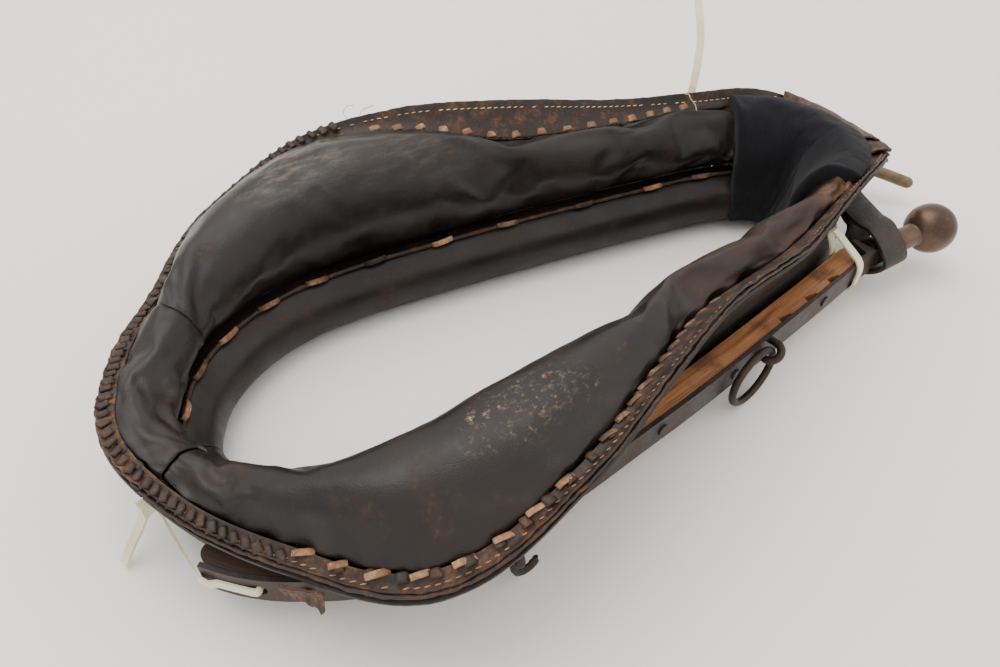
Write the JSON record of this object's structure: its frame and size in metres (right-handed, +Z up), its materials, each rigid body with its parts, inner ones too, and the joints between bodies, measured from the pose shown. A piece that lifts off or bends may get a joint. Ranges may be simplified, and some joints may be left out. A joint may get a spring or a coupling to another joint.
{
  "type": "draught horse collar with hames",
  "caption": "Padded leather neck collar for a draught horse with a pair of iron-plated wooden hames, rein rings, trace hooks and a hame strap.",
  "frame": {"origin": "middle of the bounding box, on the floor that the collar lies on", "axes": "+X from the throat to the top of the neck, +Y to the far side, +Z up, the side that lies against the horse faces up"},
  "size_m": [0.7932, 0.428, 0.165],
  "materials": {
    "black_leather": "satin, worn",
    "brown_leather": "worn, frayed edges",
    "thong_leather": "raw tan leather",
    "straw": "rye straw stuffing",
    "pad": "matt black, raw edge",
    "ash_wood": "oiled ash",
    "iron": "dull grey-brown, worn",
    "ball_iron": "bronze-brown satin",
    "tip_iron": "olive-brown satin",
    "twine": "thin twisted twine",
    "strap": "dark harness leather",
    "nylon": "pale nylon, slightly clear"
  },
  "bodies": {
    "collar": {"body_throat": "black_leather", "body_far": "black_leather", "body_near": "black_leather", "body_stuffing": "straw", "roll_far": "black_leather", "roll_near": "black_leather", "roll_stuffing": "straw", "flange_far": "brown_leather", "flange_near": "brown_leather", "flange_throat": "brown_leather", "side_far": "brown_leather", "side_near": "brown_leather", "side_throat": "brown_leather", "lacing_far": "thong_leather", "lacing_near": "thong_leather", "lacing_throat": "thong_leather", "seam_thongs": "thong_leather", "neck_pad": "pad", "cap_leather": "brown_leather", "leather_tab": "brown_leather", "wood_near": "ash_wood", "wood_far": "ash_wood", "plate_near": "iron", "plate_far": "iron", "rivets_near": "iron", "rivets_far": "iron", "hame_ball": "ball_iron", "peg_socket": "iron", "hame_peg": "tip_iron", "peg_twine": "twine", "ring_staple_near": "iron", "ring_staple_far": "iron", "hook_staple_near": "iron", "hook_staple_far": "iron", "hame_strap": "strap", "strap_buckle": "iron", "tie_low": "nylon", "tie_top": "nylon", "tie_near": "nylon"},
    "rein_ring_near": {"rein_ring_near": "iron"},
    "rein_ring_far": {"rein_ring_far": "iron"},
    "tug_hook_near": {"tug_hook_near": "iron"},
    "tug_hook_far": {"tug_hook_far": "iron"},
    "strap_tongue": {"strap_tongue": "iron"}
  },
  "joints": [
    {"name": "rein_ring_near_swing", "type": "hinge", "parent": "collar", "child": "rein_ring_near", "pos_m": [0.08712, -0.14179, 0.043], "axis": [-0.5647, -0.1008, 0.8192], "range_deg": [0, 95]},
    {"name": "tug_hook_near_swing", "type": "hinge", "parent": "collar", "child": "tug_hook_near", "pos_m": [-0.17609, -0.1813, 0.0385], "axis": [-1, 0.0059, 0], "range_deg": [-8, 90]},
    {"name": "rein_ring_far_swing", "type": "hinge", "parent": "collar", "child": "rein_ring_far", "pos_m": [0.08719, 0.14196, 0.043], "axis": [0.5643, -0.1028, -0.8192], "range_deg": [0, 95]},
    {"name": "tug_hook_far_swing", "type": "hinge", "parent": "collar", "child": "tug_hook_far", "pos_m": [-0.17609, 0.1813, 0.0385], "axis": [1, 0.0059, 0], "range_deg": [-8, 90]},
    {"name": "tongue_swing", "type": "hinge", "parent": "collar", "child": "strap_tongue", "pos_m": [0.3044, 0.009, 0.039], "axis": [1, 0, 0], "range_deg": [0, 80]}
  ]
}
